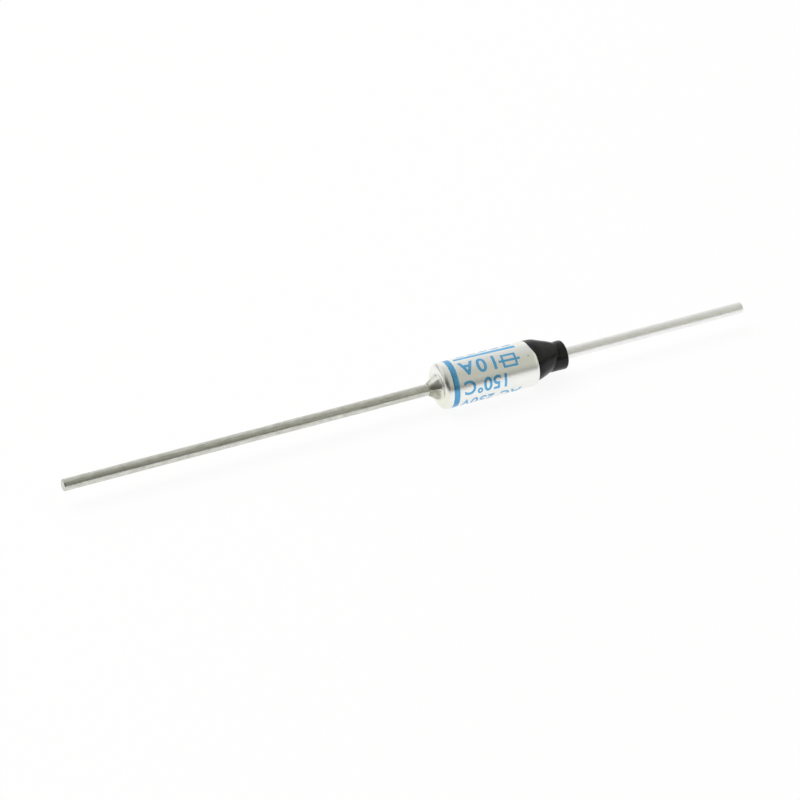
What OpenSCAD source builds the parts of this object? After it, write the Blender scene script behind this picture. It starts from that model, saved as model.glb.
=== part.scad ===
// Axial-lead thermal fuse. A plated metal can carries one lead staked into its closed end. The other
// lead passes through a ceramic bushing that the can's rim is rolled over, under a resin seal. Inside,
// a solid pellet keeps two springs and a sliding star contact in the closed state until it melts.
// The axis is X, with the sealed end at +X. The origin is on the axis, at the middle of the can.

/* [Can] */
// Outer diameter of the can
can_d = 4.0; // [3.7:0.1:4.6]
// Length of the can, from its closed face to its rolled rim
can_len = 8.8; // [8.6:0.1:9.6]
// Wall of the can round the pellet and the springs
can_wall = 0.28; // [0.24:0.01:0.32]
// Wall of the can's mouth, thinner so that it rolls over the bushing
mouth_wall = 0.18; // [0.14:0.01:0.2]
// Thickness of the closed end
floor_t = 0.45; // [0.35:0.05:0.6]
// Outside radius of the closed end's shoulder
shoulder_r = 0.4; // [0.3:0.05:0.8]
// Outside radius of the rolled rim
rim_r = 0.34; // [0.26:0.02:0.4]
// Width of the rim's turned-in lip, from the outside of the can
lip_w = 0.55; // [0.45:0.05:0.65]

/* [Staked neck] */
// Length of the neck that grips the case lead
neck_len = 0.9; // [0.6:0.05:1.2]
// Diameter of the neck where it leaves the closed face
neck_root_d = 2.3; // [2.0:0.05:2.6]
// Wall of the neck at its lip, round the lead
neck_lip_wall = 0.16; // [0.12:0.02:0.24]
// Number of flats left by the staking jaws
stake_flats = 8; // [4:1:10]
// Depth of each flat
stake_depth = 0.07; // [0.03:0.01:0.12]
// Turn of the flats about the axis
stake_turn = 40; // [0:1:90]
// Squeeze of the lead in the neck, on each side
stake_squeeze = 0.04; // [0.02:0.01:0.06]

/* [Leads] */
// Diameter of both leads
lead_d = 1.0; // [0.8:0.05:1.2]
// Length of the case lead outside the closed face
case_lead_len = 33.1; // [5:0.1:60]
// Length of the isolated lead outside the seal
isolated_lead_len = 17.6; // [5:0.1:60]
// Rounding of the leads' cut ends
lead_end_r = 0.06; // [0.02:0.01:0.2]
// Diameter of the case lead's countersunk head
head_d = 1.75; // [1.5:0.05:1.9]
// Height of that head
head_h = 0.5; // [0.3:0.05:0.7]
// Length of the isolated lead's contact tip, in front of its collar
tip_len = 0.95; // [0.85:0.05:1.1]
// Rounding of the contact tip
tip_r = 0.3; // [0.1:0.05:0.35]
// Width of the collar's ledge, on each side of the lead
collar_w = 0.3; // [0.2:0.05:0.4]
// Thickness of the collar
collar_t = 0.35; // [0.25:0.05:0.45]
// Width of the upset that locks the isolated lead on the bushing's nose, on each side
upset_w = 0.15; // [0.1:0.01:0.2]

/* [Pellet and discs] */
// Length of the pellet
pellet_len = 2.3; // [1.8:0.1:2.4]
// Rounding of the pellet's edges
pellet_edge_r = 0.2; // [0.05:0.05:0.4]
// Thickness of each disc
disc_t = 0.2; // [0.12:0.02:0.26]

/* [Springs] */
// Wire of the main spring
main_wire_d = 0.38; // [0.28:0.02:0.42]
// Turns of the main spring
main_turns = 4; // [3:0.25:4]
// Wire of the trip spring
trip_wire_d = 0.18; // [0.12:0.01:0.22]
// Turns of the trip spring
trip_turns = 4; // [3:0.25:4.5]

/* [Star contact] */
// Sheet of the star contact
star_t = 0.12; // [0.08:0.01:0.16]
// Bend radius of its fingers
star_bend_r = 0.5; // [0.3:0.05:0.6]
// Straight end of each finger, along the can's wall
star_wipe = 0.25; // [0.1:0.05:0.4]
// Number of fingers
star_fingers = 8; // [5:1:10]
// Width of the slots between the fingers
star_slot_w = 0.24; // [0.16:0.02:0.3]

/* [Bushing and seal] */
// Length of the bushing inside the can
bushing_len = 1.9; // [1.6:0.1:2.1]
// Length of the bushing's nose, outside the can's rim
nose_len = 1.7; // [1.0:0.1:2.2]
// Length of the seal outside the rim
seal_len = 3.05; // [2.7:0.05:3.6]
// Diameter of the seal's stub
stub_d = 2.54; // [2.4:0.02:2.7]
// Rounding of the stub's end
stub_edge_r = 0.16; // [0.05:0.01:0.3]
// Resin over the bushing's nose
stub_skin = 0.37; // [0.25:0.01:0.4]
// Width of the rim that the resin leaves bare, at its mean place
flare_inset = 0.18; // [0.14:0.02:0.3]
// Sideways shift of the resin's flare, which ran to one side before it set
flare_shift = 0.18; // [0:0.01:0.2]
// Direction of that shift about the axis, from +Y towards +Z
flare_turn = 78; // [0:1:359]
// Length of the flare's plain band outside the rim
flare_band = 0.32; // [0.1:0.02:0.6]
// Length of the flare outside the rim, with its taper
flare_len = 2.3; // [1.6:0.05:2.6]

/* [Clearances] */
// Gap round a lead in the neck, the closed end and the bushing
lead_clear = 0.02; // [0.01:0.01:0.05]
// Gap round the bushing in the can's mouth
bushing_clear = 0.02; // [0.01:0.01:0.04]
// Gap round the pellet and the discs in the can
pellet_clear = 0.08; // [0.04:0.01:0.15]
// Gap between the star contact's fingers and the can
wipe_clear = 0.01; // [0.005:0.005:0.03]
// Gap between a coil and what it turns in or round
coil_clear = 0.2; // [0.1:0.02:0.25]
// Bond line of the resin
bond = 0.01; // [0.005:0.005:0.03]

/* [Hidden] */
$fn = 96;

lead_r = lead_d / 2;
squeezed_r = lead_r - stake_squeeze;
upset_r = lead_r + upset_w;
can_r = can_d / 2;
bore_r = can_r - can_wall;
mouth_r = can_r - mouth_wall;
lip_open_r = can_r - lip_w;
bushing_r = mouth_r - bushing_clear;
collar_r = lead_r + collar_w;
stub_r = stub_d / 2;
nose_r = stub_r - stub_skin;
neck_root_r = neck_root_d / 2;
neck_lip_r = lead_r + neck_lip_wall;

// Stations along the axis, from the closed end to the seal
x_closed = -can_len / 2;
x_neck_lip = x_closed - neck_len;
x_floor = x_closed + floor_t;
x_head = x_floor - head_h;
x_pellet_end = x_floor + pellet_len;
x_main_start = x_pellet_end + disc_t;
x_rim = can_len / 2;
x_lip = x_rim - mouth_wall;
x_seat = x_lip - bushing_len;
x_collar = x_seat - collar_t;
x_tip = x_collar - tip_len;
x_star = x_tip - star_t;
x_main_end = x_star - disc_t;
x_nose_end = x_rim + nose_len;
x_seal_end = x_rim + seal_len;
x_case_lead_end = x_closed - case_lead_len;
x_isolated_lead_end = x_seal_end + isolated_lead_len;

// A cut runs this far past the face that it opens
past = 1;

// Facets of a spring: sides of its wire, and rings in one turn
wire_sides = 12;
rings_per_turn = 20;
// Closed turns at each end of a spring, and their pitch in wire diameters
closed_turns = 0.75;
closed_pitch = 1.04;

// Turns a half profile, drawn as radius and place along the axis, about the X axis
module turned() {
    rotate([0, 90, 0])
        rotate_extrude()
            children();
}

// Square corner at [r, x] less its rounding: the scrap that a rounded edge leaves
module corner_scrap(r, x, edge_r, side) {
    difference() {
        translate([r - edge_r, side > 0 ? x : x - edge_r])
            square([edge_r + past, edge_r]);
        translate([r - edge_r, x + side * edge_r])
            circle(edge_r);
    }
}

// Half profile of a plug of radius r from x0 to x1, with its edges rounded
module plug(r, x0, x1, edge0 = 0, edge1 = 0) {
    difference() {
        translate([0, x0])
            square([r, x1 - x0]);
        if (edge0 > 0)
            corner_scrap(r, x0, edge0, 1);
        if (edge1 > 0)
            corner_scrap(r, x1, edge1, -1);
    }
}

// Half profile of a cone of radius r0 at x0 and r1 at x1
module taper(r0, x0, r1, x1) {
    polygon([[0, x0], [r0, x0], [r1, x1], [0, x1]]);
}

// Climb of a spring's wire after u of its turns, with closed turns at both ends
function coil_climb(u, turns, climb, wire_d) =
    let (
        closed = wire_d * closed_pitch,
        open = (climb - 2 * closed_turns * closed) / (turns - 2 * closed_turns)
    )
    u < closed_turns ? u * closed
    : u > turns - closed_turns ? climb - (turns - u) * closed
    : closed_turns * closed + (u - closed_turns) * open;

// Spring of round wire between seats at x0 and x1, swept along its helix
module spring(wire_d, turns, coil_r, x0, x1) {
    rings = ceil(turns * rings_per_turn);
    points = [
        for (i = [0 : rings], k = [0 : wire_sides - 1])
            let (
                u = turns * i / rings,
                x = x0 + wire_d / 2 + coil_climb(u, turns, x1 - x0 - wire_d, wire_d),
                side = 360 * k / wire_sides,
                r = coil_r + wire_d / 2 * cos(side)
            )
            [x + wire_d / 2 * sin(side), r * cos(360 * u), r * sin(360 * u)]
    ];
    skin = [
        for (i = [0 : rings - 1], k = [0 : wire_sides - 1])
            let (a = i * wire_sides + k, b = i * wire_sides + (k + 1) % wire_sides)
            for (face = [[a, a + wire_sides, b + wire_sides], [a, b + wire_sides, b]])
                face
    ];
    start_cap = [for (k = [0 : wire_sides - 1]) k];
    end_cap = [for (k = [wire_sides - 1 : -1 : 0]) rings * wire_sides + k];
    polyhedron(points, concat(skin, [start_cap, end_cap]), convexity = 10);
}

// Neck of the closed end, squeezed onto the lead by staking jaws
module staked_neck() {
    slope = atan((neck_root_r - neck_lip_r) / neck_len);
    difference() {
        turned()
            union() {
                taper(neck_lip_r, x_neck_lip, neck_root_r, x_closed);
                plug(neck_root_r, x_closed, x_floor);
            }
        for (i = [0 : stake_flats - 1])
            rotate([stake_turn + 360 * i / stake_flats, 0, 0])
                translate([x_closed, neck_root_r - stake_depth, 0])
                    rotate([0, 0, slope])
                        translate([-neck_len * 2, 0, -neck_root_r])
                            cube([neck_len * 2, neck_root_d, neck_root_d]);
    }
}

// Hollow of the can: bore, wider mouth, lip opening, countersink and tapering lead hole
module can_hollow() {
    turned()
        union() {
            plug(bore_r, x_floor, x_seat);
            plug(mouth_r, x_seat, x_lip, 0, rim_r - mouth_wall);
            plug(lip_open_r, x_lip - rim_r, x_rim + past);
            taper(squeezed_r + lead_clear, x_head, head_d / 2 + lead_clear, x_floor);
            taper(lead_r + lead_clear, x_neck_lip, squeezed_r + lead_clear, x_head);
            plug(lead_r + lead_clear, x_neck_lip - past, x_neck_lip);
        }
}

module case() {
    color([0.78, 0.78, 0.76])
        difference() {
            union() {
                turned()
                    plug(can_r, x_closed, x_rim, shoulder_r, rim_r);
                staked_neck();
            }
            can_hollow();
        }
}

module case_lead() {
    color([0.62, 0.62, 0.58])
        turned()
            union() {
                plug(lead_r, x_case_lead_end, x_neck_lip, lead_end_r);
                taper(lead_r, x_neck_lip, squeezed_r, x_head);
                taper(squeezed_r, x_head, head_d / 2, x_floor);
            }
}

module pellet() {
    color([0.93, 0.90, 0.80])
        turned()
            plug(bore_r - pellet_clear, x_floor, x_pellet_end, pellet_edge_r, pellet_edge_r);
}

// Plain steel disc that spreads a spring's push, from x on
module disc(x) {
    color([0.72, 0.72, 0.72])
        turned()
            plug(bore_r - pellet_clear, x, x + disc_t, disc_t / 4, disc_t / 4);
}

module pellet_disc() {
    disc(x_pellet_end);
}

module spring_disc() {
    disc(x_main_end);
}

module main_spring() {
    coil_r = bore_r - coil_clear - main_wire_d / 2;
    color([0.55, 0.56, 0.58])
        spring(main_wire_d, main_turns, coil_r, x_main_start, x_main_end);
}

module trip_spring() {
    coil_r = collar_r + coil_clear + trip_wire_d / 2;
    color([0.55, 0.56, 0.58])
        spring(trip_wire_d, trip_turns, coil_r, x_tip, x_seat);
}

// Dished sheet with slots that part its rim into springy fingers
module star_contact() {
    finger_r = bore_r - wipe_clear;
    hub_r = finger_r - star_bend_r;
    x_finger_end = x_star + star_bend_r + star_wipe;
    color([0.88, 0.86, 0.80])
        difference() {
            turned()
                difference() {
                    plug(finger_r, x_star, x_finger_end, star_bend_r);
                    plug(finger_r - star_t, x_tip, x_finger_end + past, star_bend_r - star_t);
                }
            for (i = [0 : star_fingers - 1])
                rotate([360 * i / star_fingers, 0, 0])
                    translate([x_star - past, hub_r - star_slot_w, -star_slot_w / 2])
                        cube([x_finger_end - x_star + 2 * past, can_r, star_slot_w]);
        }
}

module bushing() {
    color([0.95, 0.93, 0.88])
        turned()
            difference() {
                union() {
                    plug(bushing_r, x_seat, x_lip, 0, rim_r - mouth_wall);
                    plug(nose_r, x_lip, x_nose_end, 0, stub_edge_r);
                }
                plug(lead_r + lead_clear, x_seat - past, x_nose_end + past);
            }
}

module isolated_lead() {
    color([0.62, 0.62, 0.58])
        turned()
            union() {
                plug(lead_r, x_tip, x_isolated_lead_end, tip_r, lead_end_r);
                plug(collar_r, x_collar, x_seat);
                taper(upset_r, x_nose_end, lead_r, x_seal_end);
            }
}

// Half profile of the flare: a plain band at the rim, then a taper that ends under the stub's skin
module flare() {
    flare_r = can_r - flare_inset;
    flare_end_r = stub_r - flare_shift - bond;
    union() {
        plug(flare_r, x_rim - rim_r, x_rim + flare_band);
        taper(flare_r, x_rim + flare_band, flare_end_r, x_rim + flare_len);
    }
}

// Resin outside the rim: a flare that ran to one side, round a plain stub
module resin_outside() {
    rotate([flare_turn, 0, 0])
        translate([0, flare_shift, 0])
            turned()
                flare();
    turned()
        plug(stub_r, x_rim, x_seal_end, 0, stub_edge_r);
}

module resin_seal() {
    color([0.13, 0.13, 0.14])
        difference() {
            union() {
                difference() {
                    resin_outside();
                    turned()
                        plug(can_r + bond, x_seat, x_rim + bond, 0, rim_r + bond);
                }
                turned()
                    plug(lip_open_r - bond, x_lip + bond, x_rim + 2 * bond);
            }
            turned()
                union() {
                    plug(nose_r + bond, x_lip, x_nose_end + bond, 0, stub_edge_r + bond);
                    taper(upset_r + lead_clear, x_nose_end, lead_r + lead_clear, x_seal_end);
                    plug(lead_r + lead_clear, x_nose_end, x_seal_end + past);
                }
        }
}

case();
case_lead();
pellet();
pellet_disc();
main_spring();
spring_disc();
star_contact();
trip_spring();
bushing();
isolated_lead();
resin_seal();
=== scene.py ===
"""Looks of an axial-lead thermal fuse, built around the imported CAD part.

Lengths are in mm, and MM turns them into metres. The sizes and places of the floor, the lamp and the
camera are in metres.
"""

import math

import bmesh
import bpy
from mathutils import Matrix, Vector, noise


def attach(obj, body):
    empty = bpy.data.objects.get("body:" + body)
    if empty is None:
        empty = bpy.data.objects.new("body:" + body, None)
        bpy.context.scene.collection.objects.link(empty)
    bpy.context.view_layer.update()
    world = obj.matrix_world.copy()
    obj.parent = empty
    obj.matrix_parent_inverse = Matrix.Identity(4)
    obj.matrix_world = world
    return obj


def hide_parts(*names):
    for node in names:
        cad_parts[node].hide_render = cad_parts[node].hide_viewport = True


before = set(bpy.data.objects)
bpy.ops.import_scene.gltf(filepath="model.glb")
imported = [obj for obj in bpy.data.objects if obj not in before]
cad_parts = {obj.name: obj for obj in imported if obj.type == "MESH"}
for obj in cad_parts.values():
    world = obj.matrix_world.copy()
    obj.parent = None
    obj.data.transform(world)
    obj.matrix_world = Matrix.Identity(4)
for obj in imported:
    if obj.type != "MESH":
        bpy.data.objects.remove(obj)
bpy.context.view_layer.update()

MM = 0.001
TAU = 2 * math.pi

# Sizes of the part, as in its source
CAN_R = 2.0
CAN_LEN = 8.8
CAN_WALL = 0.28
MOUTH_WALL = 0.18
FLOOR_T = 0.45
SHOULDER_R = 0.4
RIM_R = 0.34
LIP_W = 0.55
NECK_LEN = 0.9
NECK_ROOT_R = 1.15
NECK_LIP_WALL = 0.16
STAKE_FLATS = 8
STAKE_DEPTH = 0.07
STAKE_SQUEEZE = 0.04
LEAD_R = 0.5
LEAD_GAP = 0.02
CASE_LEAD_LEN = 33.1
ISOLATED_LEAD_LEN = 17.6
HEAD_R = 0.875
HEAD_H = 0.5
TIP_LEN = 0.95
TIP_R = 0.3
COLLAR_W = 0.3
COLLAR_T = 0.35
UPSET_W = 0.15
BUSHING_LEN = 1.9
NOSE_LEN = 1.7
SEAL_LEN = 3.05
STUB_R = 1.27
STUB_EDGE_R = 0.16
STUB_SKIN = 0.37
FLARE_INSET = 0.18
FLARE_SHIFT = 0.18
FLARE_BAND = 0.32
FLARE_LEN = 2.3
BOND = 0.01

# Radii worked out from them
BORE_R = CAN_R - CAN_WALL
MOUTH_R = CAN_R - MOUTH_WALL
LIP_OPEN_R = CAN_R - LIP_W
NECK_LIP_R = LEAD_R + NECK_LIP_WALL
SQUEEZED_R = LEAD_R - STAKE_SQUEEZE
COLLAR_R = LEAD_R + COLLAR_W
UPSET_R = LEAD_R + UPSET_W
NOSE_R = STUB_R - STUB_SKIN
FLARE_R = CAN_R - FLARE_INSET

# Stations along the axis
X_RIM = CAN_LEN / 2
X_CLOSED = -CAN_LEN / 2
X_NECK_LIP = X_CLOSED - NECK_LEN
X_FLOOR = X_CLOSED + FLOOR_T
X_HEAD = X_FLOOR - HEAD_H
X_LIP = X_RIM - MOUTH_WALL
X_SEAT = X_LIP - BUSHING_LEN
X_COLLAR = X_SEAT - COLLAR_T
X_TIP = X_COLLAR - TIP_LEN
X_NOSE_END = X_RIM + NOSE_LEN
X_SEAL_END = X_RIM + SEAL_LEN
X_BAND_END = X_RIM + FLARE_BAND
X_FLARE_END = X_RIM + FLARE_LEN
X_CASE_LEAD_END = X_CLOSED - CASE_LEAD_LEN
X_ISOLATED_LEAD_END = X_SEAL_END + ISOLATED_LEAD_LEN

# The shown can is a little slimmer than the CAD can, so that the ink on it stays inside the CAD box
INK_R = CAN_R
SKIN_R = 1.997
INK_LOW_R = 1.9955

# Seeds, one for each irregular surface
SEED_CASE_LEAD = Vector((3.1, 7.7, 1.9))
SEED_ISOLATED_LEAD = Vector((13.7, 2.3, 8.1))
SEED_RESIN = Vector((5.3, 1.7, 9.4))
SEED_INK = Vector((21.0, 4.0, 2.0))
SEED_NECK = Vector((2.6, 11.3, 5.8))

# Segments round the axis
CAN_SEGMENTS = 264
WIRE_SEGMENTS = 64
RESIN_SEGMENTS = 220
RING_SEGMENTS = 220

# Edges bent by more than this stay sharp
SHARP_DEG = 38
RESIN_SHARP_DEG = 50


def angle_dir(phi):
    """Unit vector (y, z) across the axis at phi, which runs from straight up towards the camera's side."""
    return -math.sin(phi), math.cos(phi)


def around(phi, x, r):
    """Place in metres of a point at phi, x along the axis and r from it."""
    y, z = angle_dir(phi)
    return x * MM, r * y * MM, r * z * MM


def unevenness(seed, x, phi, along, across):
    """Smooth noise from -1 to 1 on a round surface, with its scales along and across the axis."""
    y, z = angle_dir(phi)
    return noise.noise(Vector((x * along, y * across, z * across)) + seed)


def soft_min(a, b, k):
    """The smaller of a and b, rounded off where they come within k of each other."""
    h = max(0.0, min(1.0, 0.5 + 0.5 * (b - a) / k))
    return b + (a - b) * h - k * h * (1 - h)


def soft_max(a, b, k):
    """The larger of a and b, rounded off where they come within k of each other."""
    return -soft_min(-a, -b, k)


def turn_between(a, b):
    """Angle from b to a, from -pi to pi."""
    return (a - b + math.pi) % TAU - math.pi


def arc(cx, cr, radius, a0, a1, steps):
    """Profile points (x, r) on an arc about (cx, cr), from angle a0 to a1 in degrees, measured from +X."""
    points = []
    for i in range(steps + 1):
        a = math.radians(a0 + (a1 - a0) * i / steps)
        points.append((cx + radius * math.cos(a), cr + radius * math.sin(a)))
    return points


def line(x0, r0, x1, r1, steps):
    """Profile points from (x0, r0) to (x1, r1), without the first."""
    return [(x0 + (x1 - x0) * i / steps, r0 + (r1 - r0) * i / steps) for i in range(1, steps + 1)]


def revolve(profile_at, segments, closed=False):
    """Mesh of a profile turned about X. profile_at(phi) gives its points (x, r).

    A closed profile joins its last point to its first. An open one is capped at both ends.
    """
    bm = bmesh.new()
    rings = []
    for k in range(segments):
        phi = TAU * k / segments
        rings.append([bm.verts.new(around(phi, x, r)) for x, r in profile_at(phi)])
    count = len(rings[0])
    for k in range(segments):
        a, b = rings[k], rings[(k + 1) % segments]
        for i in range(count if closed else count - 1):
            j = (i + 1) % count
            bm.faces.new((a[i], a[j], b[j], b[i]))
    if not closed:
        for end in (0, -1):
            ring = [r[end] for r in rings]
            centre = bm.verts.new(sum((v.co for v in ring), Vector()) / segments)
            for k in range(segments):
                bm.faces.new((ring[k], ring[(k + 1) % segments], centre))
    return bm


def new_piece(name, bm, node=None, sharp_deg=SHARP_DEG):
    """Makes a mesh object of bm, shaded smooth up to sharp_deg, riding on the part."""
    bmesh.ops.recalc_face_normals(bm, faces=bm.faces)
    mesh = bpy.data.meshes.new(name)
    bm.to_mesh(mesh)
    bm.free()
    obj = bpy.data.objects.new(name, mesh)
    bpy.context.scene.collection.objects.link(obj)
    mesh.shade_smooth()
    mesh.set_sharp_from_angle(angle=math.radians(sharp_deg))
    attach(obj, "root")
    if node:
        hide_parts(node)
    return obj


# The can: one drawn shell with its staked neck and its rolled rim

STAKE_TURN_DEG = -50
STAKE_REACH = math.pi / 3
STAKE_BLEND = 0.012
STAKE_CROWN = 0.4
DENT_H = 0.022
MARK_H = 0.009

NECK_STEPS = 18
NECK_LIP_FACE = 0.015
NECK_LIP_ROUND = 0.03
NECK_ROUND_POWER = 6
NECK_LIP_SINK = 0.095
NECK_SINK_POWER = 3
FLATS_AT_LIP = 0.15
FLATS_GROW = 4
FLATS_FADE = 7

ROOT_FILLET_X = 0.012
ROOT_FILLET_R = 0.03
GROOVE_R = 1.235
GROOVE_STEP = 0.025
GROOVE_DEPTH = 0.012

SHOULDER_STEPS = 18
WALL_STEPS = 40
RIM_ARC_STEPS = 14
RIM_FACE_STEPS = 3
BORE_STEPS = 12
LIP_ROUND = 0.03
MOUTH_ROUND = 0.16
MOUTH_ROUND_MID = 0.05


def staked(x, r, phi):
    """Radius of the neck's outside at phi, with the flats, dents and marks that the staking jaws leave."""
    best = r
    for i in range(STAKE_FLATS):
        off = turn_between(phi, math.radians(STAKE_TURN_DEG + 360 * i / STAKE_FLATS))
        if abs(off) < STAKE_REACH:
            flat = (r - STAKE_DEPTH) / math.cos(off)
            best = soft_min(best, flat, STAKE_BLEND)
    crowned = best + STAKE_CROWN * (r - best)
    dent = unevenness(SEED_NECK, x, phi, along=2.6, across=3.4)
    mark = unevenness(SEED_NECK, x, phi, along=6.0, across=9.0)
    return crowned - DENT_H * max(0.0, dent) - MARK_H * max(0.0, mark)


def neck_points(phi):
    """Outside of the neck at phi, from its lip, drawn in onto the lead, to its root."""
    slope = (NECK_ROOT_R - NECK_LIP_R) / NECK_LEN
    points = []
    for i in range(NECK_STEPS + 1):
        t = i / NECK_STEPS
        x = X_NECK_LIP + NECK_LIP_ROUND * (1 - t) ** NECK_ROUND_POWER + NECK_LEN * t
        cone = NECK_LIP_R - NECK_LIP_SINK * (1 - t) ** NECK_SINK_POWER + slope * (x - X_NECK_LIP)
        fade = min(1.0, FLATS_FADE * (1 - t), FLATS_AT_LIP + FLATS_GROW * t)
        points.append((x, cone + (staked(x, cone, phi) - cone) * fade))
    return points


def can_profile(phi):
    """Closed profile of the can at phi: the outside from the neck to the lip, then back along the inside."""
    hole_r = LEAD_R + LEAD_GAP
    points = [(X_NECK_LIP, hole_r), (X_NECK_LIP, hole_r + NECK_LIP_FACE)]
    points += neck_points(phi)
    points += [(X_CLOSED - ROOT_FILLET_X, NECK_ROOT_R + ROOT_FILLET_R)]
    points += [(X_CLOSED, NECK_ROOT_R + 2 * ROOT_FILLET_R)]
    for i, depth in enumerate((0, GROOVE_DEPTH, GROOVE_DEPTH, 0)):
        points.append((X_CLOSED + depth, GROOVE_R + GROOVE_STEP * i))
    points += arc(X_CLOSED + SHOULDER_R, SKIN_R - SHOULDER_R, SHOULDER_R, 180, 90, SHOULDER_STEPS)
    points += line(X_CLOSED + SHOULDER_R, SKIN_R, X_RIM - RIM_R, SKIN_R, WALL_STEPS)
    points += arc(X_RIM - RIM_R, SKIN_R - RIM_R, RIM_R, 90, 0, RIM_ARC_STEPS)[1:]
    points += line(X_RIM, SKIN_R - RIM_R, X_RIM, LIP_OPEN_R + LIP_ROUND, RIM_FACE_STEPS)
    points += [(X_RIM - LIP_ROUND, LIP_OPEN_R), (X_LIP, LIP_OPEN_R)]
    points += [(X_LIP, MOUTH_R - MOUTH_ROUND), (X_LIP - MOUTH_ROUND_MID, MOUTH_R - MOUTH_ROUND_MID)]
    points += [(X_LIP - MOUTH_ROUND, MOUTH_R), (X_SEAT, MOUTH_R), (X_SEAT, BORE_R)]
    points += line(X_SEAT, BORE_R, X_FLOOR, BORE_R, BORE_STEPS)
    points += [(X_FLOOR, HEAD_R + LEAD_GAP), (X_HEAD, SQUEEZED_R + LEAD_GAP)]
    return points


can = new_piece("can_shell", revolve(can_profile, CAN_SEGMENTS, closed=True), "case")


# The leads: drawn and tinned wire, cut off at the ends

WAVER_SLOW_H = 0.006
WAVER_FINE_H = 0.0025
WAVER_ROOM = 0.004

CUT_FACE_RADII = (0.14, 0.26, 0.36, 0.42)
CUT_RAGGED = 0.007
CUT_RAGGED_SCALE = 2.5
CUT_ROLL = 0.05
CUT_ROLL_LEAN = 0.07
CUT_EDGE = 0.07
CUT_EDGE_H = 0.068
CUT_EDGE_STEPS = 5
CUT_TO_WIRE = 0.12

CASE_LEAD_STEPS = 190
CASE_TILT = 0.07
CASE_TILT_PHI = math.radians(200)
WIRE_TO_NECK = 0.1
NECK_FIT = 0.002
HEAD_FACE_R = 0.4

ISOLATED_LEAD_STEPS = 100
ISOLATED_TILT = 0.05
ISOLATED_TILT_PHI = math.radians(60)
TIP_FACE_R = 0.08
TIP_STEPS = 8


def wire_r(x, phi, seed):
    """Radius of a wire with the small unevenness of its tin, never more than the CAD wire's."""
    slow = unevenness(seed, x, phi, along=0.35, across=0.6)
    fine = unevenness(seed, x, phi, along=2.2, across=1.6)
    return LEAD_R - WAVER_ROOM + min(WAVER_ROOM, WAVER_SLOW_H * slow + WAVER_FINE_H * fine)


def cut_end(phi, x_end, side, seed, tilt, tilt_phi):
    """Profile points of a sheared wire end at phi, from near its middle to the full wire.

    side is the way that the end faces along X. tilt is how far the cut runs back, which it does most at the
    side opposite tilt_phi.
    """
    lean = 0.5 - 0.5 * math.cos(phi - tilt_phi)
    y, z = angle_dir(phi)
    place = Vector((y * CUT_RAGGED_SCALE, z * CUT_RAGGED_SCALE, 0))
    ragged = CUT_RAGGED * abs(noise.noise(place + seed))
    points = []
    for r in CUT_FACE_RADII:
        share = r / LEAD_R
        slant = tilt * (0.5 + (lean - 0.5) * share)
        points.append((x_end - side * (slant + ragged * share), r))
    base = x_end - side * (tilt * lean + ragged)
    roll = CUT_ROLL + CUT_ROLL_LEAN * lean
    for i in range(1, CUT_EDGE_STEPS + 1):
        a = math.radians(90 * i / CUT_EDGE_STEPS)
        x = base - side * roll * (1 - math.cos(a))
        points.append((x, LEAD_R - CUT_EDGE + CUT_EDGE_H * math.sin(a)))
    return points


def case_lead_profile(phi):
    """Profile of the case lead at phi, from its cut end to the head inside the can."""
    points = cut_end(phi, X_CASE_LEAD_END, -1, SEED_CASE_LEAD, CASE_TILT, CASE_TILT_PHI)
    start = points[-1][0] + CUT_TO_WIRE
    stop = X_NECK_LIP - WIRE_TO_NECK
    for i in range(CASE_LEAD_STEPS + 1):
        x = start + (stop - start) * i / CASE_LEAD_STEPS
        points.append((x, wire_r(x, phi, SEED_CASE_LEAD)))
    points += [(X_NECK_LIP, LEAD_R - NECK_FIT), (X_HEAD, SQUEEZED_R)]
    points += [(X_FLOOR, HEAD_R), (X_FLOOR, HEAD_FACE_R)]
    return points


def isolated_lead_profile(phi):
    """Profile of the isolated lead at phi, from the tip inside the can to its cut end."""
    points = [(X_TIP, TIP_FACE_R)]
    points += arc(X_TIP + TIP_R, LEAD_R - TIP_R, TIP_R, 180, 90, TIP_STEPS)
    points += [(X_COLLAR, LEAD_R), (X_COLLAR, COLLAR_R), (X_SEAT, COLLAR_R), (X_SEAT, LEAD_R)]
    points += [(X_NOSE_END, LEAD_R), (X_NOSE_END, UPSET_R), (X_SEAL_END, LEAD_R)]
    end = cut_end(phi, X_ISOLATED_LEAD_END, 1, SEED_ISOLATED_LEAD, ISOLATED_TILT, ISOLATED_TILT_PHI)
    stop = end[-1][0] - CUT_TO_WIRE
    for i in range(1, ISOLATED_LEAD_STEPS + 1):
        x = X_SEAL_END + (stop - X_SEAL_END) * i / ISOLATED_LEAD_STEPS
        points.append((x, wire_r(x, phi, SEED_ISOLATED_LEAD)))
    return points + end[::-1]


case_wire = revolve(case_lead_profile, WIRE_SEGMENTS)
case_lead = new_piece("case_lead_wire", case_wire, "case_lead")
isolated_wire = revolve(isolated_lead_profile, WIRE_SEGMENTS)
isolated_lead = new_piece("isolated_lead_wire", isolated_wire, "isolated_lead")


# The resin: a flare that ran to one side of the rim before it set, round a plain stub

FLARE_PHI = math.radians(-12)
FLARE_END_R = 1.08
BAND_BLEND = 0.12
LUMP_SLOW_H = 0.026
LUMP_FINE_H = 0.012
STUB_LUMP_SHARE = 0.5
WAIST_BLEND = 0.035
WAIST_CREASE = 0.03
WAIST_CREASE_W = 0.09

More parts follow.
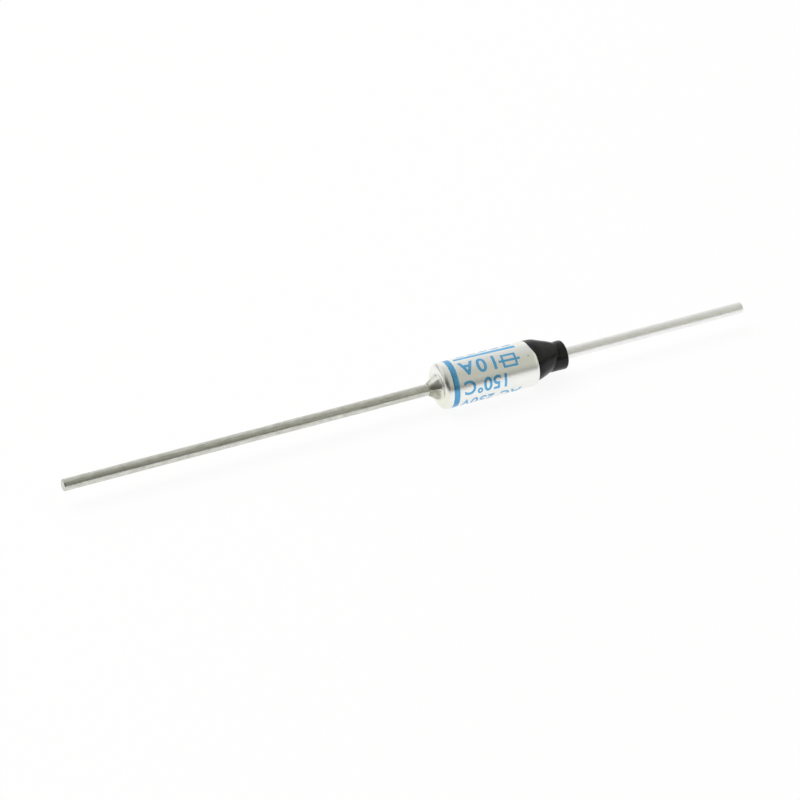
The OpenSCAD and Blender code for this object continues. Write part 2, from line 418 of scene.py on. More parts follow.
# The tongue that crept over the rim, with the resin's edge in degrees round the rolled rim
EDGE_LOW = 14.0
EDGE_HIGH = 106.0
EDGE_WANDER = 3.0
EDGE_WANDER_X = 4.0
TONGUE_PHI = math.radians(-15)
TONGUE_FULL = math.radians(18)
TONGUE_END = math.radians(82)
FILM_GAP = 0.3 * BOND
FILM_T = 0.022
FILM_GROWTH = 3
FILM_SWELL = 0.5

# The end face, dished, and climbing up the lead
CLIMB_H = 0.10
CLIMB_W = 0.06
CLIMB_TIP = 0.11
CLIMB_TIP_GAP = 0.006
DISH_DEPTH = 0.03
SAG_DEPTH = 0.012
SAG_SCALE = 2

# The bushing's nose, which the resin covers
NOSE_FACE_R = 0.74
NOSE_CHAMFER = 0.14

RIM_STEPS = 8
RESIN_STEPS = 54
STUB_EDGE_STEPS = 7
FACE_STEPS = 9


def resin_lump(x, phi):
    """Soft lumps of the resin's skin, as a change of radius."""
    slow = unevenness(SEED_RESIN, x, phi, along=0.55, across=1.1)
    fine = unevenness(SEED_RESIN, x, phi, along=1.9, across=3.2)
    return LUMP_SLOW_H * slow + LUMP_FINE_H * fine


def flare_r(x, phi):
    """Radius of the flare's skin at phi, measured from the axis, to which the flare isn't centred."""
    share = (x - X_BAND_END) / (X_FLARE_END - X_BAND_END)
    skin = soft_min(FLARE_R, FLARE_R + (FLARE_END_R - FLARE_R) * share, BAND_BLEND)
    along = FLARE_SHIFT * math.cos(phi - FLARE_PHI)
    across = FLARE_SHIFT * math.sin(phi - FLARE_PHI)
    return along + math.sqrt(skin ** 2 - across ** 2)


def resin_r(x, phi):
    """Radius of the resin's skin at phi: the flare or the stub, with a crease where they meet."""
    lump = resin_lump(x, phi)
    flare = flare_r(x, phi) + lump
    stub = STUB_R + STUB_LUMP_SHARE * lump
    crease = WAIST_CREASE * math.exp(-(((flare - stub) / WAIST_CREASE_W) ** 2))
    return soft_max(flare, stub, WAIST_BLEND) - crease


def rim_point(t, gap):
    """Point (x, r) gap outside the can's rolled rim, at t degrees from +X; past 90, on along the can."""
    a = math.radians(min(t, 90.0))
    back = RIM_R * math.radians(max(0.0, t - 90.0))
    x = X_RIM - RIM_R - back + (RIM_R + gap) * math.cos(a)
    r = SKIN_R - RIM_R + (RIM_R + gap) * math.sin(a)
    return x, r


def resin_edge(phi):
    """Degrees round the rim at which the resin ends: low, but for a tongue that crept up on one side."""
    off = abs(turn_between(phi, TONGUE_PHI))
    share = max(0.0, min(1.0, (TONGUE_END - off) / (TONGUE_END - TONGUE_FULL)))
    share = share * share * (3 - 2 * share)
    wander = EDGE_WANDER * unevenness(SEED_RESIN, EDGE_WANDER_X, phi, along=1.0, across=2.2)
    return EDGE_LOW + (EDGE_HIGH - EDGE_LOW) * share + wander


def resin_face(phi, face_r):
    """Points of the resin's end face at phi, from its rounded edge at face_r to the lead."""
    y, z = angle_dir(phi)
    points = []
    for i in range(1, FACE_STEPS):
        t = i / FACE_STEPS
        r = face_r + (LEAD_R + LEAD_GAP - face_r) * t
        climb = CLIMB_H * math.exp(-(r - LEAD_R) / CLIMB_W)
        dish = DISH_DEPTH * math.sin(math.pi * t)
        place = Vector((y * r * SAG_SCALE, z * r * SAG_SCALE, 1.0))
        sag = SAG_DEPTH * noise.noise(place + SEED_RESIN)
        points.append((X_SEAL_END + climb - dish + min(0.0, sag), r))
    points.append((X_SEAL_END + CLIMB_TIP, LEAD_R + CLIMB_TIP_GAP))
    return points


def resin_profile(phi):
    """Closed profile of the resin at phi: its skin from the rim to the end, then back along the inside."""
    edge = resin_edge(phi)
    points = [rim_point(edge, FILM_GAP)]
    for i in range(1, RIM_STEPS):
        share = i / RIM_STEPS
        x, r = rim_point(edge * (1 - share), BOND + FILM_T * min(1.0, FILM_GROWTH * share))
        swollen = max(r, min(resin_r(x, phi), r + FILM_SWELL * share))
        points.append((x, min(CAN_R, swollen)))
    x0 = points[-1][0]
    x1 = X_SEAL_END - STUB_EDGE_R
    for i in range(1, RESIN_STEPS + 1):
        x = x0 + (x1 - x0) * i / RESIN_STEPS
        points.append((x, min(CAN_R, resin_r(x, phi))))
    points += arc(x1, points[-1][1] - STUB_EDGE_R, STUB_EDGE_R, 90, 0, STUB_EDGE_STEPS)[1:]
    points += resin_face(phi, points[-1][1])
    points += [(X_SEAL_END, LEAD_R + LEAD_GAP)]
    points += [(X_NOSE_END + BOND, UPSET_R + BOND), (X_NOSE_END + BOND, NOSE_FACE_R)]
    points += [(X_NOSE_END - NOSE_CHAMFER, NOSE_R + BOND), (X_LIP + BOND, NOSE_R + BOND)]
    points += [(X_LIP + BOND, LIP_OPEN_R - BOND), (X_RIM + BOND, LIP_OPEN_R + 2 * BOND)]
    points += [rim_point(edge * i / RIM_STEPS, FILM_GAP) for i in range(RIM_STEPS)]
    return points


resin_skin = revolve(resin_profile, RESIN_SEGMENTS, closed=True)
resin = new_piece("resin_cap", resin_skin, "resin_seal", sharp_deg=RESIN_SHARP_DEG)


# The print: a thin film of ink on the can, a little askew

PRINT_LEAN = 0.045
PRINT_MID = math.radians(52)
INK_WANDER_H = 0.012
INK_RAGGED_H = 0.006
INK_EDGE = 0.012

RING_X = -3.41
RING_W = 0.52
RING_STEPS = 4
RING_SIDES_APART = 3.0

STRIP_U = 0.5
STRIP_V = math.radians(3) * CAN_R
CUT_SLACK = 1e-6
WELD_SLACK = 1e-5
CAPITAL_SHARE = 0.72
TYPE_STEPS = 6


def askew(x, phi):
    """Place (x, phi) of a point of the print, which sits a little askew on the can."""
    return x - PRINT_LEAN * CAN_R * math.sin(phi - PRINT_MID), phi + PRINT_LEAN * x / CAN_R


def ink_wander(side, phi):
    """How far the ring's edge strays along the can at phi. side tells its two edges apart."""
    slow = unevenness(SEED_INK, side, phi, along=1, across=5)
    fine = unevenness(SEED_INK, side, phi, along=1, across=17)
    return INK_WANDER_H * slow + INK_RAGGED_H * fine


def ring_profile(phi):
    """Closed profile of the printed ring at phi."""
    middle = askew(RING_X, phi)[0]
    x0 = middle - RING_W / 2 + ink_wander(0.0, phi)
    x1 = middle + RING_W / 2 + ink_wander(RING_SIDES_APART, phi)
    skin = [(x0, INK_R)] + line(x0, INK_R, x1, INK_R, RING_STEPS)
    return [(x0 - INK_EDGE, INK_LOW_R)] + skin + [(x1 + INK_EDGE, INK_LOW_R)]


def cut_strips(bm, axis, width):
    """Cuts flat shapes into strips of that width along axis 0 (u) or 1 (v), so that they can bend."""
    low = min(v.co[axis] for v in bm.verts)
    high = max(v.co[axis] for v in bm.verts)
    normal = Vector((0, 0, 0))
    normal[axis] = 1
    cut = math.floor(low / width) * width
    while cut < high:
        geom = bm.verts[:] + bm.edges[:] + bm.faces[:]
        bmesh.ops.bisect_plane(bm, geom=geom, plane_co=normal * cut, plane_no=normal, dist=CUT_SLACK)
        cut += width


def wrap_film(bm, x_start, phi_base):
    """Wraps flat shapes drawn in mm, reading along u and upwards along v, onto the can as a film of ink.

    The print reads from the seal towards the closed end, and its upper side faces down the can's front.
    """
    cut_strips(bm, 0, STRIP_U)
    cut_strips(bm, 1, STRIP_V)
    grown = bmesh.ops.extrude_face_region(bm, geom=bm.faces[:])
    lower = {part for part in grown["geom"] if isinstance(part, bmesh.types.BMVert)}
    for vert in bm.verts:
        r = INK_LOW_R if vert in lower else INK_R
        x, phi = askew(x_start - vert.co.x, phi_base + vert.co.y / CAN_R)
        vert.co = around(phi, x, r)


def text_film(name, body, height, x_start, phi_deg, spacing, weight, stretch=1.0):
    """Plain characters of that height, as a film of ink. weight thickens their strokes."""
    curve = bpy.data.curves.new(name + "_type", "FONT")
    curve.body = body
    curve.size = height / CAPITAL_SHARE
    curve.space_character = spacing
    curve.offset = weight
    curve.resolution_u = TYPE_STEPS
    holder = bpy.data.objects.new(name + "_type", curve)
    bpy.context.scene.collection.objects.link(holder)
    bpy.context.view_layer.update()
    mesh = bpy.data.meshes.new_from_object(holder.evaluated_get(bpy.context.evaluated_depsgraph_get()))
    bpy.data.objects.remove(holder)
    bpy.data.curves.remove(curve)
    bm = bmesh.new()
    bm.from_mesh(mesh)
    bpy.data.meshes.remove(mesh)
    bmesh.ops.remove_doubles(bm, verts=bm.verts, dist=WELD_SLACK)
    bmesh.ops.scale(bm, vec=(stretch, 1, 1), verts=bm.verts)
    left = min(v.co.x for v in bm.verts)
    bmesh.ops.translate(bm, vec=(-left, 0, 0), verts=bm.verts)
    wrap_film(bm, x_start, math.radians(phi_deg))
    return new_piece(name, bm)


def outline_film(name, outlines, x_start, phi_deg):
    """Flat shapes, each a ring of points (u, v), as a film on the can."""
    bm = bmesh.new()
    for outline in outlines:
        bm.faces.new([bm.verts.new((u, v, 0)) for u, v in outline])
    wrap_film(bm, x_start, math.radians(phi_deg))
    return new_piece(name, bm)


def bar(u0, v0, u1, v1):
    """Ring of points round a bar."""
    return [(u0, v0), (u1, v0), (u1, v1), (u0, v1)]


LINE_LEN = 5.65
LINE_HALF_W = 0.17
DASHES = 5
DASH_PITCH = 1.07
DASH_LEN = 0.7
DASH_HALF_W = 0.14
SIGN_STROKE = 0.2
SIGN_WIRE = 0.3
SIGN_LEN = 1.35
SIGN_LOW = 0.18
SIGN_HIGH = 1.42


def dash_row():
    """A row of short bars."""
    starts = [DASH_PITCH * i for i in range(DASHES)]
    return [bar(u, -DASH_HALF_W, u + DASH_LEN, DASH_HALF_W) for u in starts]


def fuse_sign():
    """The sign for a fuse in circuit diagrams: a box with a wire through its middle."""
    u0, u1 = SIGN_WIRE, SIGN_WIRE + SIGN_LEN
    inner_u0, inner_u1 = u0 + SIGN_STROKE, u1 - SIGN_STROKE
    inner_v0, inner_v1 = SIGN_LOW + SIGN_STROKE, SIGN_HIGH - SIGN_STROKE
    middle = (SIGN_LOW + SIGN_HIGH) / 2
    wire_v0, wire_v1 = middle - SIGN_STROKE / 2, middle + SIGN_STROKE / 2
    box = [bar(u0, SIGN_LOW, u1, inner_v0), bar(u0, inner_v1, u1, SIGN_HIGH)]
    box += [bar(u0, inner_v0, inner_u0, inner_v1), bar(inner_u1, inner_v0, u1, inner_v1)]
    stretches = ((0, u0), (inner_u0, inner_u1), (u1, u1 + SIGN_WIRE))
    return box + [bar(start, wire_v0, end, wire_v1) for start, end in stretches]


ring = new_piece("print_ring", revolve(ring_profile, RING_SEGMENTS, closed=True))
line_outline = bar(0, -LINE_HALF_W, LINE_LEN, LINE_HALF_W)
thin_ink_pieces = [
    outline_film("print_line", [line_outline], x_start=2.8, phi_deg=-10),
    outline_film("print_dashes", dash_row(), x_start=2.6, phi_deg=-27),
    outline_film("print_symbol", fuse_sign(), x_start=2.72, phi_deg=6.5),
    text_film(
        "print_amps", "10A", height=1.32, x_start=0.52, phi_deg=8.5,
        spacing=1.27, weight=0.044,
    ),
    text_film(
        "print_degrees", "150°C", height=1.25, x_start=1.22, phi_deg=60.5,
        spacing=1.03, weight=0.044, stretch=0.92,
    ),
    text_film(
        "print_volts", "AC 250V", height=1.2, x_start=2.72, phi_deg=111,
        spacing=1.06, weight=0.03, stretch=0.85,
    ),
]


# A speck of dirt on the bare plate

SPECK_R = 0.065
SPECK_LOBES = 0.25
SPECK_SQUASH = 0.3
SPECK_POINTS = 14


def speck_outline():
    """Ring of points round an uneven spot."""
    points = []
    for i in range(SPECK_POINTS):
        a = TAU * i / SPECK_POINTS
        u = SPECK_R * (1 + SPECK_LOBES * math.sin(3 * a)) * math.cos(a)
        v = SPECK_R * (1 + SPECK_SQUASH * math.cos(2 * a)) * math.sin(a)
        points.append((u, v))
    return points


speck = outline_film("dirt_speck", [speck_outline()], x_start=3.5, phi_deg=29)


# Materials


class Nodes:
    """Short ways to add and join the shader nodes of a material or of the world."""

    def __init__(self, owner):
        owner.use_nodes = True
        self.owner = owner
        self.tree = owner.node_tree
        self.tree.nodes.clear()

    def add(self, kind, **settings):
        node = self.tree.nodes.new(kind)
        for key, value in settings.items():
            setattr(node, key, value)
        return node

    def join(self, source, socket):
        self.tree.links.new(source, socket)

    def feed(self, source, socket):
        """Joins a socket to another one, or sets it to a number or a colour."""
        if isinstance(source, bpy.types.NodeSocket):
            self.join(source, socket)
        elif isinstance(source, tuple):
            socket.default_value = (*source, 1)
        else:
            socket.default_value = source

    def coords(self, scale):
        """The piece's own coordinates, in mm times scale along each axis."""
        place = self.add("ShaderNodeTexCoord")
        mapping = self.add("ShaderNodeMapping")
        mapping.inputs["Scale"].default_value = [s / MM for s in scale]
        self.join(place.outputs["Object"], mapping.inputs["Vector"])
        return mapping.outputs["Vector"]

    def parts(self, vector):
        """The sockets X, Y and Z of a vector."""
        node = self.add("ShaderNodeSeparateXYZ")
        self.join(vector, node.inputs["Vector"])
        return node.outputs

    def noise(self, scale, detail, rough):
        """Smooth noise round 0.5, finer along an axis the larger its scale."""
        tex = self.add("ShaderNodeTexNoise")
        tex.inputs["Scale"].default_value = 1.0
        tex.inputs["Detail"].default_value = detail
        tex.inputs["Roughness"].default_value = rough
        self.join(self.coords(scale), tex.inputs["Vector"])
        return tex.outputs["Fac"]

    def span(self, value, source, target, kind="LINEAR"):
        """Maps the range source of a value onto the range target, and holds it there beyond both ends."""
        node = self.add("ShaderNodeMapRange", interpolation_type=kind)
        for key, number in zip(("From Min", "From Max", "To Min", "To Max"), (*source, *target)):
            node.inputs[key].default_value = number
        self.join(value, node.inputs["Value"])
        return node.outputs["Result"]

    def ramp(self, value, stops):
        """Colour by value, from stops (place, colour) in rising order."""
        node = self.add("ShaderNodeValToRGB")
        elements = node.color_ramp.elements
        while len(elements) < len(stops):
            elements.new(0.5)
        for element, (place, colour) in zip(elements, stops):
            element.position = place
            element.color = (*colour, 1)
        self.join(value, node.inputs["Fac"])
        return node.outputs["Color"]

    def mix(self, factor, a, b):
        """Colour a where the factor is 0 and b where it is 1."""
        node = self.add("ShaderNodeMix", data_type="RGBA")
        self.join(factor, node.inputs["Factor"])
        self.feed(a, node.inputs["A"])
        self.feed(b, node.inputs["B"])
        return node.outputs["Result"]

    def combine(self, operation, a, b):
        """One step of arithmetic on a value and another value or number."""
        node = self.add("ShaderNodeMath", operation=operation)
        self.join(a, node.inputs[0])
        self.feed(b, node.inputs[1])
        return node.outputs["Value"]

    def plus(self, a, b):
        return self.combine("ADD", a, b)

    def times(self, a, b):
        return self.combine("MULTIPLY", a, b)

    def bump(self, height, strength, distance):
        """Normal of a fine relief, which is distance high where height is 1."""
        node = self.add("ShaderNodeBump")
        node.inputs["Strength"].default_value = strength
        node.inputs["Distance"].default_value = distance * MM
        self.join(height, node.inputs["Height"])
        return node.outputs["Normal"]

    def mix_shaders(self, factor, a, b):
        """Shader a where the factor is 0 and b where it is 1."""
        node = self.add("ShaderNodeMixShader")
        self.feed(factor, node.inputs["Fac"])
        self.join(a, node.inputs[1])
        self.join(b, node.inputs[2])
        return node.outputs["Shader"]

    def finish(self, shader):
        """Joins a shader to the output, and gives back the material or world."""
        is_world = isinstance(self.owner, bpy.types.World)
        out = self.add("ShaderNodeOutputWorld" if is_world else "ShaderNodeOutputMaterial")
        self.join(shader, out.inputs["Surface"])
        return self.owner

    def surface(self, colour, roughness, normal, **constants):
        """Ends a material in one surface shader."""
        shader = self.add("ShaderNodeBsdfPrincipled")
        for key, value in constants.items():
            shader.inputs[key.replace("_", " ")].default_value = value
        self.join(colour, shader.inputs["Base Color"])
        self.join(roughness, shader.inputs["Roughness"])
        self.join(normal, shader.inputs["Normal"])
        return self.finish(shader.outputs["BSDF"])


def material_nodes(name):
    return Nodes(bpy.data.materials.new(name))


# Colours, dark and light, of each material
PLATE = ((0.89, 0.895, 0.86), (0.94, 0.945, 0.915))
PLATE_SPECKS = (0.22, 0.20, 0.17)
# Painted reflection: an olive tint low on the closed end, where the plate mirrors the floor below
PLATE_PAINTED_REFLECTION = (0.85, 0.86, 0.74)
# Painted shade under the neck, where its lower facets mirror the darker floor and shadow beside them
NECK_PAINTED_SHADE = ((0.34, 0.34, 0.27), (0.58, 0.58, 0.49))
# One tin in two copies: darker on the case lead as painted shade, lighter on the isolated lead as painted
# light
TIN_SHADED_COPY = ((0.48, 0.485, 0.43), (0.76, 0.765, 0.71))
TIN_LIT_COPY = ((0.88, 0.88, 0.87), (0.97, 0.97, 0.96))
PIT_SHADE = 0.35
RESIN = ((0.004, 0.004, 0.0045), (0.008, 0.008, 0.009))
RESIN_DUST = (0.20, 0.20, 0.20)
RING_INK = ((0.092, 0.36, 0.635), (0.14, 0.41, 0.70))
THIN_INK = ((0.115, 0.43, 0.74), (0.175, 0.49, 0.81))
INK_PINHOLES = (0.62, 0.74, 0.80)
DIRT = ((0.19, 0.185, 0.17), (0.30, 0.29, 0.27))
PELLET = ((0.78, 0.70, 0.50), (0.90, 0.85, 0.70))
CERAMIC = ((0.82, 0.79, 0.72), (0.91, 0.89, 0.84))
CERAMIC_GRAINS = (0.45, 0.42, 0.36)
SILVER = ((0.80, 0.77, 0.69), (0.91, 0.89, 0.84))
DISC_STEEL = ((0.46, 0.46, 0.46), (0.62, 0.62, 0.62))
SPRING_STEEL = ((0.38, 0.38, 0.40), (0.56, 0.56, 0.58))

# The middle stretch of a noise, over which most materials change
MOST = (0.3, 0.7)

# Stretches over which the painted reflection and the painted shade on the plate change, along X from the
# closed end and along Z
NECK_SHADE_X = (X_CLOSED - 0.02, X_CLOSED - 0.2)
REFLECTION_X = (X_CLOSED + 0.5, X_CLOSED + 0.1)
UNDERSIDE_Z = (0.8, 0.3)


def plated_can():
    """Bright plate over a drawn shell: draw lines, specks, a painted reflection low at the closed end, and
    painted shade under the neck.
    """
    n = material_nodes("plated_can_bright")
    draw = n.noise((0.5, 26, 26), detail=4, rough=0.6)
    cloud = n.noise((0.5, 0.7, 0.7), detail=3, rough=0.5)
    specks = n.noise((5, 5, 5), detail=2, rough=0.5)
    shade_blotch = n.noise((2.2, 2.2, 2.2), detail=4, rough=0.6)
    place = n.parts(n.coords((1, 1, 1)))
    below = n.span(place["Z"], UNDERSIDE_Z, (0.0, 1.0))
    at_neck = n.span(place["X"], NECK_SHADE_X, (0.0, 1.0))
    at_end = n.span(place["X"], REFLECTION_X, (0.0, 0.8))
    tone = n.ramp(cloud, [(0.3, PLATE[0]), (0.7, PLATE[1])])
    dirty = n.mix(n.span(specks, (0.735, 0.76), (0.0, 0.75)), tone, PLATE_SPECKS)
    # Painted reflection of the floor: an olive tint on the underside near the closed end
    reflected_tint = n.mix(n.times(at_end, below), dirty, PLATE_PAINTED_REFLECTION)
    # Painted shade on the neck's lower and middle facets, in blotches
    neck_shade = n.ramp(shade_blotch, [(0.35, NECK_PAINTED_SHADE[0]), (0.65, NECK_PAINTED_SHADE[1])])
    colour = n.mix(n.times(at_neck, below), reflected_tint, neck_shade)
    rough = n.plus(n.span(cloud, MOST, (0.28, 0.34)), n.span(draw, (0.35, 0.7), (-0.02, 0.04)))
    normal = n.bump(n.plus(draw, n.times(cloud, 0.6)), strength=0.12, distance=0.004)
    return n.surface(colour, rough, normal, Metallic=1.0)


def tinned_wire(name, colours, rough_span):
    """Tin on drawn wire: streaks along the wire, blotches and small pits."""
    n = material_nodes(name)
    dark, light = colours
    streak = n.noise((0.6, 14, 14), detail=4, rough=0.6)
    blotch = n.noise((1.5, 2.2, 2.2), detail=4, rough=0.65)
    pits = n.noise((7, 7, 7), detail=2, rough=0.5)
    both = n.plus(n.times(streak, 0.6), n.times(blotch, 0.4))
    tone = n.ramp(both, [(0.38, dark), (0.62, light)])
    pit_tone = tuple(PIT_SHADE * c for c in dark)
    colour = n.mix(n.span(pits, (0.70, 0.76), (0.0, 0.6)), tone, pit_tone)
    rough = n.span(both, MOST, rough_span)
    normal = n.bump(both, strength=0.35, distance=0.018)
    return n.surface(colour, rough, normal, Metallic=1.0)


def cured_resin():
    """Black epoxy: semi-gloss, with a faint bloom, dust and a fine grain."""
    n = material_nodes("black_resin_cured")
    bloom = n.noise((0.9, 1.2, 1.2), detail=4, rough=0.55)
    grain = n.noise((9, 9, 9), detail=3, rough=0.6)
    dust = n.noise((6.5, 6.5, 6.5), detail=2, rough=0.5)
    tone = n.ramp(bloom, [(0.35, RESIN[0]), (0.7, RESIN[1])])
    colour = n.mix(n.span(dust, (0.71, 0.76), (0.0, 0.35)), tone, RESIN_DUST)
    rough = n.plus(n.span(bloom, MOST, (0.22, 0.32)), n.span(grain, MOST, (-0.03, 0.05)))
    normal = n.bump(n.plus(grain, n.times(bloom, 1.5)), strength=0.22, distance=0.012)
    return n.surface(colour, rough, normal, Specular_IOR_Level=0.28)


def blue_ink(name, colours):
    """Thin blue ink through which the plate still gleams, with worn pinholes."""
    n = material_nodes(name)
    cloud = n.noise((1.1, 1.1, 1.1), detail=3, rough=0.5)
    pinholes = n.noise((11, 11, 11), detail=2, rough=0.55)
    tone = n.ramp(cloud, [(0.35, colours[0]), (0.7, colours[1])])
    colour = n.mix(n.span(pinholes, (0.66, 0.74), (0.0, 0.8)), tone, INK_PINHOLES)
    rough = n.span(cloud, MOST, (0.22, 0.32))
    normal = n.bump(pinholes, strength=0.15, distance=0.003)
    return n.surface(colour, rough, normal, Metallic=0.8)


def dried_dirt():
    """Dark dry dirt, a little uneven."""
    n = material_nodes("dirt_dried")
    grain = n.noise((9, 9, 9), detail=3, rough=0.6)
    colour = n.ramp(grain, [(0.35, DIRT[0]), (0.65, DIRT[1])])
    rough = n.span(grain, MOST, (0.6, 0.8))
    normal = n.bump(grain, strength=0.3, distance=0.004)
    return n.surface(colour, rough, normal)


def plain_metal(name, colours, rough_span):
    """Stamped or drawn metal inside the can: fine grain and faint stains."""
    n = material_nodes(name)
    grain = n.noise((12, 12, 12), detail=4, rough=0.6)
    stain = n.noise((1.2, 1.2, 1.2), detail=3, rough=0.5)
    both = n.plus(n.times(grain, 0.4), n.times(stain, 0.6))
    colour = n.ramp(both, [(0.35, colours[0]), (0.65, colours[1])])
    rough = n.span(stain, MOST, rough_span)
    normal = n.bump(grain, strength=0.2, distance=0.004)
    return n.surface(colour, rough, normal, Metallic=1.0)


def pressed_pellet():
    """Pressed organic pellet: waxy, with a grainy break-up."""
    n = material_nodes("pellet_wax_pressed")
    grain = n.noise((8, 8, 8), detail=4, rough=0.6)
    cloud = n.noise((1.5, 1.5, 1.5), detail=3, rough=0.5)
    colour = n.ramp(cloud, [(0.3, PELLET[0]), (0.7, PELLET[1])])
    rough = n.span(grain, MOST, (0.5, 0.7))
    normal = n.bump(grain, strength=0.3, distance=0.02)
    return n.surface(colour, rough, normal)


def fired_ceramic():
    """Unglazed fired ceramic: off-white, fine-grained, with small dark grains."""
    n = material_nodes("bushing_ceramic_fired")
    grain = n.noise((14, 14, 14), detail=4, rough=0.65)
    cloud = n.noise((1.0, 1.0, 1.0), detail=3, rough=0.5)
    tone = n.ramp(cloud, [(0.3, CERAMIC[0]), (0.7, CERAMIC[1])])
    colour = n.mix(n.span(grain, (0.70, 0.78), (0.0, 0.5)), tone, CERAMIC_GRAINS)
    rough = n.span(grain, MOST, (0.55, 0.75))
    normal = n.bump(grain, strength=0.35, distance=0.01)
    return n.surface(colour, rough, normal)


def wear(obj, material):
    """Gives an object its one material."""
    obj.data.materials.clear()
    obj.data.materials.append(material)


wear(can, plated_can())
# Both leads are the same tin: the case lead's copy is painted shade and the isolated lead's is painted light
wear(case_lead, tinned_wire("tinned_lead_painted_shade", TIN_SHADED_COPY, (0.36, 0.28)))
wear(isolated_lead, tinned_wire("tinned_lead_painted_light", TIN_LIT_COPY, (0.50, 0.42)))
wear(resin, cured_resin())
wear(speck, dried_dirt())
wear(ring, blue_ink("blue_ink_ring", RING_INK))
thin_ink = blue_ink("blue_ink_thin", THIN_INK)
for piece in thin_ink_pieces:
    wear(piece, thin_ink)

disc_steel = plain_metal("disc_steel_stamped", DISC_STEEL, (0.28, 0.42))
spring_steel = plain_metal("spring_wire_drawn", SPRING_STEEL, (0.22, 0.34))
inside = {
    "pellet": pressed_pellet(),
    "pellet_disc": disc_steel,
    "main_spring": spring_steel,
    "spring_disc": disc_steel,
    "star_contact": plain_metal("contact_silver_faced", SILVER, (0.18, 0.30)),
    "trip_spring": spring_steel,
    "bushing": fired_ceramic(),
}
for node_name, material in inside.items():
    wear(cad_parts[node_name], material)


# Floor, light and camera

FLOOR_HALF = 2.0
FLOOR_CELLS = 8
FLOOR_TONE = (0.92, 0.92, 0.92)
SHADOW_SHARE = 0.08

# Brightness of the light tent's sides by height, from -1 straight down to 1 straight up
FAR_LEFT = (
    (-1, 1.0),
    (-0.02, 0.8),
    (0.03, 0.25),
    (0.08, 0.09),
    (0.3, 0.06),
    (0.6, 0.08),
    (0.8, 0.16),
    (1.0, 0.4),
)
FRONT_LEFT = (
    (-1, 1.0),
    (-0.02, 0.9),
    (0.03, 0.24),
    (0.08, 0.075),
    (0.25, 0.08),
    (0.5, 0.165),
    (0.8, 0.27),
    (1.0, 0.42),
)
FRONT_RIGHT = (
    (-1, 1.0),
    (-0.02, 0.6),
    (0.0, 0.2),
    (0.05, 0.18),
    (0.13, 0.22),
    (0.22, 0.48),
    (0.34, 0.82),
    (0.54, 0.87),
    (1.0, 0.62),
)
REAR = ((-1, 1.0), (0.3, 1.0), (0.45, 0.97), (0.6, 0.82), (0.75, 0.75), (1.0, 0.64))
REAR_SIDES = (
    (-1, 1.0),
    (-0.02, 1.0),
    (0.03, 0.55),
    (0.12, 0.35),
    (0.25, 0.4),
    (0.38, 0.8),
    (0.5, 0.97),
    (1.0, 0.64),
)

# The view, with lens and sensor in mm
VIEW_AZ = math.radians(-24.334)
VIEW_EL = math.radians(35.511)
VIEW_PLACE = (-0.080979, -0.161686, 0.126307)
VIEW_LENS = 117.0
SENSOR_W = 36.0
CLIP_START = 0.005


def ray_is(n, *kinds):
    """1 for a ray of any of these kinds, and 0 for others."""
    path = n.add("ShaderNodeLightPath")
    total = path.outputs[kinds[0]]
    for kind in kinds[1:]:
        total = n.combine("MAXIMUM", total, path.outputs[kind])
    return total


def pale_floor():
    """Matt floor that looks white to the camera and in reflections, with a little of the part's shadow."""
    n = material_nodes("pale_floor")
    matt = n.add("ShaderNodeBsdfDiffuse")
    n.feed(FLOOR_TONE, matt.inputs["Color"])
    white = n.add("ShaderNodeEmission")
    seen = n.mix_shaders(SHADOW_SHARE, white.outputs["Emission"], matt.outputs["BSDF"])
    is_seen = ray_is(n, "Is Camera Ray", "Is Glossy Ray", "Is Transmission Ray")
    return n.finish(n.mix_shaders(is_seen, matt.outputs["BSDF"], seen))


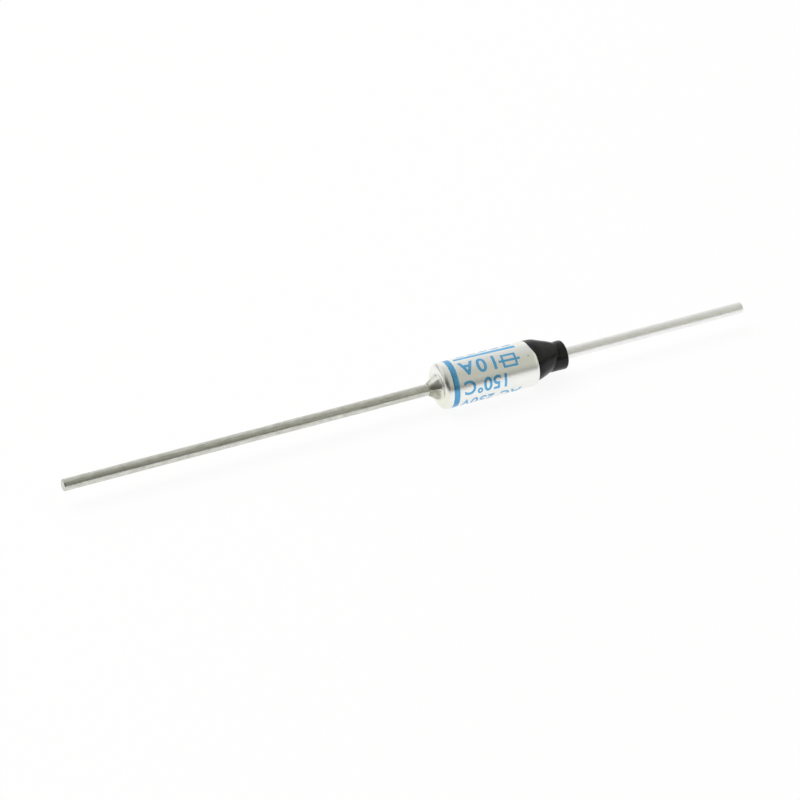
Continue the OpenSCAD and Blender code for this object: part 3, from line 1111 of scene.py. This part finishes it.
def light_tent():
    """World that lights the part as a soft tent with dark openings. The camera sees it as plain white."""
    n = Nodes(bpy.data.worlds.new("studio"))
    way = n.parts(n.add("ShaderNodeTexCoord").outputs["Generated"])
    height = n.span(way["Z"], (-1, 1), (0, 1))

    def side(levels, blue):
        """Colour of one side of the tent by height. blue is its share of blue."""
        stops = [((z + 1) / 2, (level, level, level * blue)) for z, level in levels]
        return n.ramp(height, stops)

    def pass_over(axis, start, end, before, after):
        """Passes softly from one side of the tent to another along an axis."""
        share = n.span(way[axis], (start, end), (0, 1), kind="SMOOTHSTEP")
        return n.mix(share, before, after)

    rear_sides = side(REAR_SIDES, blue=0.96)
    left = pass_over("X", -0.3, 0.15, side(FAR_LEFT, blue=0.88), side(FRONT_LEFT, blue=0.90))
    front = pass_over("X", 0.26, 0.42, left, side(FRONT_RIGHT, blue=0.89))
    rear_left = pass_over("X", -0.15, 0.1, rear_sides, side(REAR, blue=0.985))
    rear = pass_over("X", 0.5, 0.65, rear_left, rear_sides)
    tent = n.add("ShaderNodeBackground")
    n.join(pass_over("Y", -0.25, 0.25, front, rear), tent.inputs["Color"])
    backdrop = n.add("ShaderNodeBackground")
    n.feed((1, 1, 1), backdrop.inputs["Color"])
    is_camera = ray_is(n, "Is Camera Ray")
    return n.finish(n.mix_shaders(is_camera, tent.outputs["Background"], backdrop.outputs["Background"]))


def soft_lamp(name, place, size, power):
    """Large square lamp, aimed at the part, that doesn't show in reflections."""
    lamp = bpy.data.lights.new(name, "AREA")
    lamp.shape = "SQUARE"
    lamp.size = size
    lamp.energy = power
    obj = bpy.data.objects.new(name, lamp)
    obj.location = place
    obj.rotation_euler = (-Vector(place)).to_track_quat("-Z", "Y").to_euler()
    obj.visible_glossy = False
    bpy.context.scene.collection.objects.link(obj)


def view_camera():
    """Camera at the photograph's viewing angle."""
    flat = math.cos(VIEW_EL)
    back = Vector((math.sin(VIEW_AZ) * flat, -math.cos(VIEW_AZ) * flat, math.sin(VIEW_EL)))
    right = Vector((math.cos(VIEW_AZ), math.sin(VIEW_AZ), 0))
    turn = Matrix((right, back.cross(right), back)).transposed()
    data = bpy.data.cameras.new("camera")
    data.lens = VIEW_LENS
    data.sensor_width = SENSOR_W
    data.clip_start = CLIP_START
    camera = bpy.data.objects.new("camera", data)
    camera.matrix_world = Matrix.Translation(VIEW_PLACE) @ turn.to_4x4()
    bpy.context.scene.collection.objects.link(camera)
    return camera


floor_bm = bmesh.new()
bmesh.ops.create_grid(floor_bm, x_segments=FLOOR_CELLS, y_segments=FLOOR_CELLS, size=FLOOR_HALF)
floor_mesh = bpy.data.meshes.new("floor")
floor_bm.to_mesh(floor_mesh)
floor_bm.free()
floor = bpy.data.objects.new("floor", floor_mesh)
floor.location = (0, 0, -CAN_R * MM)
bpy.context.scene.collection.objects.link(floor)
wear(floor, pale_floor())

soft_lamp("key_lamp", place=(-0.25, 0.25, 0.6), size=0.5, power=3.0)
bpy.context.scene.world = light_tent()
bpy.context.scene.camera = view_camera()
bpy.context.scene.view_settings.view_transform = "Standard"

bpy.context.view_layer.update()
